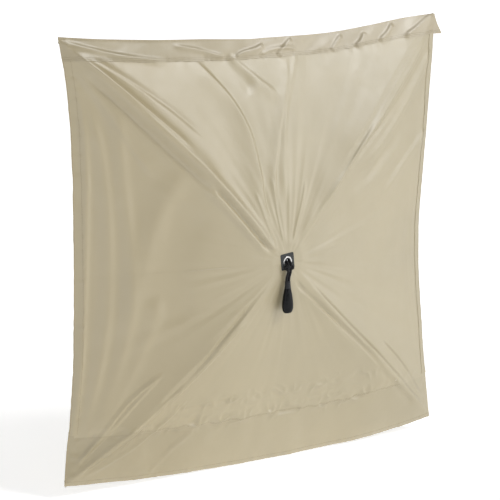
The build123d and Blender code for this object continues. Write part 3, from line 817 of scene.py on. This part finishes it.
def half_gore(corner, towards_end):
    """The main cloth between a rod and the panel's upright or level middle line."""
    side, limit = CORNERS[corner]
    up = 1 if limit > 0 else -1
    z_end = abs(limit) - (TOP_BAND if up > 0 else BOTTOM_BAND) + UNDERLAP
    x_end = HALF_WIDTH - SIDE_HEM + UNDERLAP
    x_ridge = HALF_WIDTH * z_end / abs(limit)
    if towards_end:
        edge = outline([(0, z_end), (x_ridge, z_end)], GORE_COLUMNS, 1.25)
    else:
        edge = outline([(x_end, 0), (x_end, z_end), (x_ridge, z_end)], GORE_COLUMNS, 1.12)
    start = edge / np.linalg.norm(edge, axis=1)[:, None] * CLOTH_START_R
    t = np.linspace(0, 1, GORE_ROWS)[:, None, None]
    place = start + (edge - start) * t
    x, z = side * place[..., 0], up * place[..., 1]
    if towards_end and up < 0:
        # the seam with the skirt is drawn up and down by its puckers
        drawn = noise(x / 0.022, 0 * x, 15) + 0.8 * noise(x / 0.05, 0 * x, 16)
        z = z + 0.0038 * drawn * (0.3 + 0.7 * smooth(0.62, 0.40, np.abs(x))) * t[..., 0] ** 10
    # the place just beside a middle line still belongs to this side of it
    x = side * np.maximum(np.abs(x), 1e-7)
    z = up * np.maximum(np.abs(z), 1e-7)
    which = "upright" if towards_end else "level"
    return cloth_piece(
        f"gore_{which}-{corner}", x, z, "rod_" + corner, "cloth_" + corner, CLOTH_MATERIAL,
        squash=fold_up(corner, towards_end), stitched=(-2, -3) if towards_end and up < 0 else (),
    )


for corner in CORNERS:
    for towards_end in (True, False):
        half_gore(corner, towards_end)

# ---------------------------------------------------------------- bands and hems
HEADER_FORWARD = 0.0022
HEADER_LEAN = 0.011      # how far the header's top leans forwards of its seam
HEADER_LIFT = 0.009      # how much taller it is on the left
SKIRT_BEHIND = 0.0011
HEM_FORWARD = 0.0010
# how far the header's ends reach past the outline at their lower corners
HEADER_FLARE = {"top_left": 0.0, "top_right": 0.045}


def band(corner):
    side, limit = CORNERS[corner]
    t = np.linspace(0, 1, 220)[None, :]
    if limit > 0:
        s = np.linspace(0, 1, 26)[:, None]
        lift = HEADER_LIFT * smooth(0, 0.35, t) if side < 0 else 0
        z = HEADER_Z + (TOP_BAND + lift) * s + 0 * t
        reach = HALF_WIDTH + HEADER_FLARE[corner] * (1 - s) ** 1.3
        x = side * np.maximum(t * reach, 1e-7)
        wave = 0.0012 * noise(x / 0.011, 0 * x, 21) + 0.0016 * noise(x / 0.04, 0 * x, 22)
        z = z + wave * (1 - s) ** 2
        lean = HEADER_LEAN * (1.5 if side < 0 else 1 - 0.5 * t) * smooth(1.0, 0.82, t)
        forward, thick, stitched = HEADER_FORWARD + lean * s, 0.0014, (2, 4)
        material = HEADER_MATERIAL
    else:
        s = np.linspace(0, 1, 56)[:, None]
        height = BOTTOM_BAND + UNDERLAP
        z = BOTTOM + height * s + 0 * t
        x = side * np.maximum(t * HALF_WIDTH, 1e-7) + 0 * s
        forward, thick, stitched = -SKIRT_BEHIND, CLOTH_THICK, (4,)
        material = SKIRT_MATERIAL
    height = float(z.max() - z.min())
    return cloth_piece(
        "band_cloth-" + corner, x, z, "rod_" + corner, "band_" + corner,
        material, forward, thick, fold_up(corner, True), stitched,
    )


def side_hem(corner):
    side, limit = CORNERS[corner]
    up = 1 if limit > 0 else -1
    end = abs(limit) - (TOP_BAND if up > 0 else BOTTOM_BAND) + UNDERLAP * (1 if up > 0 else 0.2)
    t = np.linspace(0, 1, 200)[None, :]
    s = np.linspace(0, 1, 12)[:, None]
    z = up * np.maximum(t * end, 1e-7) + 0 * s
    x = side * (HEM_X + SIDE_HEM * s + 0.0008 * noise(z / 0.02, 0 * z, 23) * s)
    return cloth_piece(
        "hem_cloth-" + corner, x, z, "rod_" + corner, "side_hem_" + corner,
        HEM_MATERIAL, HEM_FORWARD, 0.0012, fold_up(corner, False), (1, -2),
    )


for corner in CORNERS:
    band(corner)
    side_hem(corner)

# ---------------------------------------------------------------- centre cloth and patch
EYELET_HOLE_R = 0.0135
turn = (np.arange(160) * 2 * pi / 160)[None, :]
r = np.linspace(EYELET_HOLE_R + 0.0002, CLOTH_START_R, 14)[:, None]
x, z = r * np.cos(turn), r * np.sin(turn)
front = cloth_surface(x, z)
points, faces, uv = plate(front, front + np.array([0, CLOTH_THICK, 0]), np.stack([x, z], -1), wrap=True)
centre = make_object("centre_disc", points, faces, [CLOTH_MATERIAL], uv)
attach(centre, "hub")
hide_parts("centre_cloth")

PATCH_HALF = 0.030
PATCH_TURN = radians(6)
PATCH_CORNER = 14.0      # how square the patch's outline is
turn = (np.arange(192) * 2 * pi / 192)[None, :]
squareness = np.abs(np.cos(turn)) ** PATCH_CORNER + np.abs(np.sin(turn)) ** PATCH_CORNER
outer = PATCH_HALF / squareness ** (1 / PATCH_CORNER)
s = np.array([0, 0.25, 0.5, 0.72, 0.84, 0.92, 0.97, 1.0])[:, None]
r = EYELET_HOLE_R + (outer - EYELET_HOLE_R) * s
x, z = r * np.cos(turn + PATCH_TURN), r * np.sin(turn + PATCH_TURN)
lift = 0.0012 - 0.0005 * s**8 + 0.0004 * noise(x / 0.012, z / 0.012, 31) * s
front = np.stack([x, CLOTH_FRONT - lift - 0.0002 + 0 * x, z], -1)
back = np.stack([x, CLOTH_FRONT - 0.0002 + 0 * x, z], -1)
points, faces, uv = plate(front, back, np.stack([x, z], -1), wrap=True)
border = np.concatenate([front[5], front[5][:1]]) - np.array([0, 0.0001, 0])
patch = sewn("patch_square", (points, faces, uv), [border], [PATCH_MATERIAL, DARK_THREAD_MATERIAL])
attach(patch, "hub")
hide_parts("centre_patch")

# ---------------------------------------------------------------- webbing on the rods and at the corners
def node_points(name):
    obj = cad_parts[name]
    return np.array([obj.matrix_world @ v.co for v in obj.data.vertices], float)


def radial_of(corner):
    side, limit = CORNERS[corner]
    return np.array([side * HALF_WIDTH, 0, limit]) / hypot(HALF_WIDTH, limit)


def tubes_of(name, corner):
    """The start, direction and length of each tube of a CAD node that lies along a rod."""
    points, radial = node_points(name), radial_of(corner)
    run = points @ radial
    breaks = np.sort(run)
    breaks = breaks[1:][np.diff(breaks) > 0.15]
    found = []
    for k in range(len(breaks) + 1):
        own = points[np.searchsorted(breaks, run, side="right") == k]
        middle = own.mean(0)
        flat = np.stack([(own - middle) @ radial, own[:, 1] - middle[1]])
        share = np.linalg.eigh(flat @ flat.T)[1][:, -1]
        along = radial * share[0] + np.array([0, share[1], 0])
        along *= np.sign(along @ radial)
        reach = (own - middle) @ along
        found.append((middle + along * reach.min(), along, float(np.ptp(reach))))
    return found


def behind_cloth(points):
    """The depth of the cloth's back at the places of some points."""
    x, z = points[..., 0].copy(), points[..., 2].copy()
    for _ in range(6):
        found = cloth_surface(x, z)
        x, z = x + points[..., 0] - found[..., 0], z + points[..., 2] - found[..., 2]
    on_skirt = z < SKIRT_Z + UNDERLAP
    return cloth_surface(x, z)[..., 1] + CLOTH_THICK + np.where(on_skirt, SKIRT_BEHIND + 0.0006, 0)


WEB_THICK = 0.0011


def wrapped_over_rod(start, along, length, corner, radius, wing, closed=0.0):
    """The inner side, as a grid, of a strip of webbing that runs over the back of a rod and lies on
    the cloth on both sides. closed is how long its far end takes to come down onto the cloth."""
    radial = radial_of(corner)
    across = np.array([-radial[2], 0, radial[0]])
    to_cloth = np.cross(along, across)
    to_cloth *= -np.sign(to_cloth[1])
    half = [(0, -radius, 0), (radius * 0.7, -radius * 0.71, 0), (radius, 0, 0)]
    half += [(radius * 1.08, radius * 0.7, 0.2), (radius + 0.0022, radius * 1.2, 0.75)]
    half += [(radius + 0.005, radius * 1.3, 1), (radius + wing, radius * 1.3, 1)]
    section = [(-t, n, w) for t, n, w in half[:0:-1]] + half
    section = through(section, 60)
    rows = max(8, int((length + closed) / 0.004))
    s = np.linspace(0, length + closed, rows)[:, None]
    keep = 1 - smooth(length - 0.002, length + closed, s) if closed else 1 + 0 * s
    side, limit = CORNERS[corner]
    tip = cloth_surface(np.array([side * HALF_WIDTH]), np.array([limit]))[0]
    room = 0.85 * ((tip - start) @ along - s) - 0.003
    t = section[None, :, 0] / (1 + (section[None, :, 0] / room) ** 4) ** 0.25
    n = section[None, :, 1]
    weight = 1 - (1 - np.clip(section[None, :, 2], 0, 1)) * keep
    grid = start + along * s[..., None] + across * t[..., None] + to_cloth * n[..., None]
    grid[..., 1] = grid[..., 1] * (1 - weight) + (behind_cloth(grid) + 0.0002) * weight
    grid[..., 1] += 0.00012 * noise(s / 0.004, 0 * s, 41)
    return grid


def webbing_piece(name, node, corner, grid, rows):
    """A webbing strip from its inner side, with stitches along some columns of its grid. It is cut
    as wide as the way over the rod is long."""
    outer = thickened(grid, WEB_THICK)
    if outer[..., 1].mean() < grid[..., 1].mean():
        outer = thickened(grid, -WEB_THICK)
    steps = np.linspace(0, 1, grid.shape[1])[None, :] * 0.06
    down = np.linspace(0, 1, grid.shape[0])[:, None] * 0.09
    uv = np.stack(np.broadcast_arrays(steps, down), -1)
    lift = np.array([0, 0.0001, 0])
    body = plate(grid, outer, uv)
    piece = sewn(name, body, [outer[:, k] + lift for k in rows], [TAB_MATERIAL, THREAD_MATERIAL])
    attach(piece, "rod_" + corner)
    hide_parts(node)


for corner in CORNERS:
    for k, (start, along, length) in enumerate(tubes_of("rod_keepers_" + corner, corner)):
        grid = wrapped_over_rod(start, along, length, corner, 0.0058, 0.016)
        webbing_piece(f"keeper_loop_{k + 1}-{corner}", "rod_keepers_" + corner, corner, grid, (3, 9, -10, -4))
    start, along, length = tubes_of("corner_pocket_" + corner, corner)[0]
    grid = wrapped_over_rod(start, along, length, corner, 0.0080, 0.014, closed=0.012)
    webbing_piece("rod_pocket-" + corner, "corner_pocket_" + corner, corner, grid, (3, 8, -9, -4))


def webbing_tab(corner):
    """The tab that holds a corner eyelet: webbing folded double, with a hole and a stitched border."""
    low, high = node_points("corner_tab_" + corner).min(0), node_points("corner_tab_" + corner).max(0)
    eyelet = node_points("corner_eyelet_" + corner)
    centre = (eyelet.min(0) + eyelet.max(0)) / 2
    root = np.array([[centre[0], 0, z] for z in np.linspace(low[2], high[2], 5)])
    near = behind_cloth(root).max() + 0.0003
    turn = (np.arange(144) * 2 * pi / 144)[None, :]
    reach_y = np.where(np.cos(turn) > 0, high[1] - centre[1], centre[1] - near)
    reach_z = (high[2] - low[2]) / 2
    outer = ((np.abs(np.cos(turn)) / reach_y) ** 12 + (np.abs(np.sin(turn)) / reach_z) ** 12) ** (-1 / 12)
    s = np.array([0, 0.2, 0.4, 0.6, 0.75, 0.84, 0.9, 0.95, 0.98, 1.0])[:, None]
    r = 0.0060 + (outer - 0.0060) * s
    y, z = centre[1] + r * np.cos(turn), centre[2] + r * np.sin(turn)
    half = (high[0] - low[0]) / 2
    swell = half * (1 - 0.45 * smooth(0.93, 1.0, s)) + 0.00015 * noise(y / 0.006, z / 0.006, 43) * s
    front = np.stack([centre[0] - swell, y, z], -1)
    back = np.stack([centre[0] + swell, y, z], -1)
    uv = np.stack([z, y], -1)
    out = np.array([0.0001, 0, 0])
    rows = [np.concatenate([grid[5], grid[5][:1]]) + shift for grid, shift in ((front, -out), (back, out))]
    body = plate(front, back, uv, wrap=True)
    piece = sewn("eyelet_tab-" + corner, body, rows, [TAB_MATERIAL, THREAD_MATERIAL])
    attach(piece, "rod_" + corner)
    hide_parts("corner_tab_" + corner)


for corner in CORNERS:
    webbing_tab(corner)

# ---------------------------------------------------------------- CAD nodes' own materials
FINISH = {
    "hub_front_shell": HUB_MATERIAL,
    "hub_back_shell": HUB_MATERIAL,
    "hub_screws": STEEL_MATERIAL,
    "pivot_pins": STEEL_MATERIAL,
    "eye_bolt": STEEL_MATERIAL,
    "eye_bolt_washer": STEEL_MATERIAL,
    "eye_bolt_nut": STEEL_MATERIAL,
    "centre_eyelet": EYELET_MATERIAL,
    "eyelet_washer": EYELET_MATERIAL,
}
for corner in CORNERS:
    FINISH["rod_" + corner] = ROD_MATERIAL
    FINISH["hub_fitting_" + corner] = FITTING_MATERIAL
    FINISH["tip_cap_" + corner] = HUB_MATERIAL
    FINISH["corner_eyelet_" + corner] = EYELET_MATERIAL
for name, material in FINISH.items():
    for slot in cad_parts[name].material_slots:
        slot.material = material

# ---------------------------------------------------------------- stage and light
FLOOR_Z = -0.80
floor_material = Material("floor_paint", 0.9, Emission_Color=(1, 1, 1, 1), Emission_Strength=0.5)
floor_material.colour(floor_material.ramp(
    floor_material.noise(0.6, 2.0), [(0.3, (0.93, 0.93, 0.93)), (0.7, (0.96, 0.96, 0.96))]
))
turn = (np.arange(96) * 2 * pi / 96)[None, :]
r = np.array([0.0005, 2.0, 8.0, 30.0, 60.0])[:, None]
ground = np.stack([r * np.cos(turn), r * np.sin(turn), 0 * r * turn + FLOOR_Z], -1)
points, faces, uv = plate(ground, ground - np.array([0, 0, 0.02]), ground[..., :2], wrap=True)
floor = make_object("floor", points, faces, [floor_material.material], uv)

WORLD_LIGHT = 0.13
world = bpy.data.worlds.new("studio")
scene.world = world
world.use_nodes = True
nodes, links = world.node_tree.nodes, world.node_tree.links
nodes.clear()
output = nodes.new("ShaderNodeOutputWorld")
mixer = nodes.new("ShaderNodeMixShader")
seen = nodes.new("ShaderNodeBackground")
lit = nodes.new("ShaderNodeBackground")
rays = nodes.new("ShaderNodeLightPath")
seen.inputs["Strength"].default_value = 1.0
seen.inputs["Color"].default_value = (1, 1, 1, 1)
lit.inputs["Strength"].default_value = WORLD_LIGHT
lit.inputs["Color"].default_value = (1, 1, 1, 1)
links.new(rays.outputs["Is Camera Ray"], mixer.inputs[0])
links.new(lit.outputs[0], mixer.inputs[1])
links.new(seen.outputs[0], mixer.inputs[2])
links.new(mixer.outputs[0], output.inputs["Surface"])


def sun(name, towards, strength, angle):
    """A soft light that shines from a direction."""
    light = bpy.data.lights.new(name, "SUN")
    light.energy = strength
    light.angle = radians(angle)
    obj = bpy.data.objects.new(name, light)
    obj.rotation_euler = Vector(towards).to_track_quat("Z", "Y").to_euler()
    scene.collection.objects.link(obj)


sun("right_softbox", (0.80, -0.60, 0.08), 1.02, 40)
sun("key", (0.42, -0.62, 0.66), 1.45, 22)
sun("left_softbox", (-0.62, -0.70, 0.35), 0.62, 50)
sun("back_fill", (-0.4, 0.9, 0.5), 1.4, 50)
